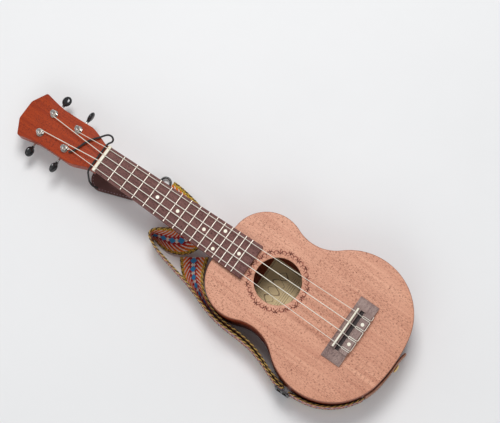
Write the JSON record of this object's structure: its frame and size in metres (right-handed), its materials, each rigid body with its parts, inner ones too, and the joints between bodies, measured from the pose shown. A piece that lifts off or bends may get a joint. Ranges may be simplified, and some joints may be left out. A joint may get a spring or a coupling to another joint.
{
  "type": "ukulele",
  "caption": "Small figure-of-eight mahogany ukulele with open-geared tuners, tie-block bridge and woven shoulder strap, lying on its back.",
  "frame": {"origin": "middle of the flat back, on the centreline", "axes": "+Y from the tail to the headstock, +Z out of the soundboard, +X to the right seen from the front"},
  "size_m": [0.1914, 0.5423, 0.0725],
  "materials": {
    "soundboard_mahogany": "open-pored, satin",
    "side_mahogany": "satin",
    "neck_mahogany": "satin",
    "inner_wood": "raw",
    "paper": "matt printed paper",
    "rosewood": "oiled",
    "bridge_rosewood": "oiled, worn grey",
    "nickel_silver": "polished",
    "ivory_plastic": "polished",
    "nylon": "translucent",
    "screw_steel": "bright",
    "chrome": "polished",
    "gear_brass": "cut brass",
    "button_plastic": "gloss",
    "pin_brass": "polished",
    "tan_leather": "smooth",
    "dark_leather": "stitched",
    "woven_strap": "jacquard weave",
    "black_plastic": "satin",
    "black_metal": "gloss",
    "rivet_steel": "polished",
    "black_cord": "braided"
  },
  "bodies": {
    "root": {"soundboard": "soundboard_mahogany", "back_plate": "side_mahogany", "left_side": "side_mahogany", "right_side": "side_mahogany", "neck_block": "inner_wood", "tail_block": "inner_wood", "linings": "inner_wood", "top_braces": "inner_wood", "back_braces": "inner_wood", "bridge_plate": "inner_wood", "label": "paper", "neck": "neck_mahogany", "fretboard": "rosewood", "frets": "nickel_silver", "position_dots": "ivory_plastic", "nut": "ivory_plastic", "bridge": "bridge_rosewood", "saddle": "ivory_plastic", "bridge_screws": "screw_steel", "bridge_dots": "ivory_plastic", "string_1": "nylon", "string_2": "nylon", "string_3": "nylon", "string_4": "nylon", "tuner_plates": "chrome", "tuner_plate_screws": "screw_steel", "post_bushings": "chrome", "end_pin": "pin_brass", "strap_tail_tab": "tan_leather", "strap_tail_webbing": "woven_strap", "strap_slider": "black_plastic", "strap_webbing": "woven_strap", "strap_ring": "black_metal", "strap_head_tab": "dark_leather", "strap_rivet": "rivet_steel", "strap_lace": "black_cord"},
    "knob_1": {"worm_1": "chrome", "button_1": "button_plastic"},
    "spindle_1": {"post_1": "chrome", "gear_1": "gear_brass", "gear_screw_1": "screw_steel", "winding_1": "nylon"},
    "knob_2": {"worm_2": "chrome", "button_2": "button_plastic"},
    "spindle_2": {"post_2": "chrome", "gear_2": "gear_brass", "gear_screw_2": "screw_steel", "winding_2": "nylon"},
    "knob_3": {"worm_3": "chrome", "button_3": "button_plastic"},
    "spindle_3": {"post_3": "chrome", "gear_3": "gear_brass", "gear_screw_3": "screw_steel", "winding_3": "nylon"},
    "knob_4": {"worm_4": "chrome", "button_4": "button_plastic"},
    "spindle_4": {"post_4": "chrome", "gear_4": "gear_brass", "gear_screw_4": "screw_steel", "winding_4": "nylon"}
  },
  "joints": [
    {"name": "button_1_turn", "type": "hinge", "parent": "root", "child": "knob_1", "pos_m": [-0.014, 0.34492, 0.03203], "axis": [1, 0, 0], "continuous": true},
    {"name": "post_1_turn", "type": "hinge", "parent": "root", "child": "spindle_1", "pos_m": [-0.014, 0.3424, 0.05046], "axis": [0, 0.2079, 0.9781], "continuous": true},
    {"name": "button_2_turn", "type": "hinge", "parent": "root", "child": "knob_2", "pos_m": [-0.014, 0.38258, 0.02403], "axis": [1, 0, 0], "continuous": true},
    {"name": "post_2_turn", "type": "hinge", "parent": "root", "child": "spindle_2", "pos_m": [-0.014, 0.38006, 0.04245], "axis": [0, 0.2079, 0.9781], "continuous": true},
    {"name": "button_3_turn", "type": "hinge", "parent": "root", "child": "knob_3", "pos_m": [0.014, 0.38258, 0.02403], "axis": [1, 0, 0], "continuous": true},
    {"name": "post_3_turn", "type": "hinge", "parent": "root", "child": "spindle_3", "pos_m": [0.014, 0.38006, 0.04245], "axis": [0, 0.2079, 0.9781], "continuous": true},
    {"name": "button_4_turn", "type": "hinge", "parent": "root", "child": "knob_4", "pos_m": [0.014, 0.34492, 0.03203], "axis": [1, 0, 0], "continuous": true},
    {"name": "post_4_turn", "type": "hinge", "parent": "root", "child": "spindle_4", "pos_m": [0.014, 0.3424, 0.05046], "axis": [0, 0.2079, 0.9781], "continuous": true}
  ],
  "couplings": [
    {"joint": "post_1_turn", "follows": "button_1_turn", "ratio": 0.071429},
    {"joint": "post_2_turn", "follows": "button_2_turn", "ratio": 0.071429},
    {"joint": "post_3_turn", "follows": "button_3_turn", "ratio": 0.071429},
    {"joint": "post_4_turn", "follows": "button_4_turn", "ratio": 0.071429}
  ]
}
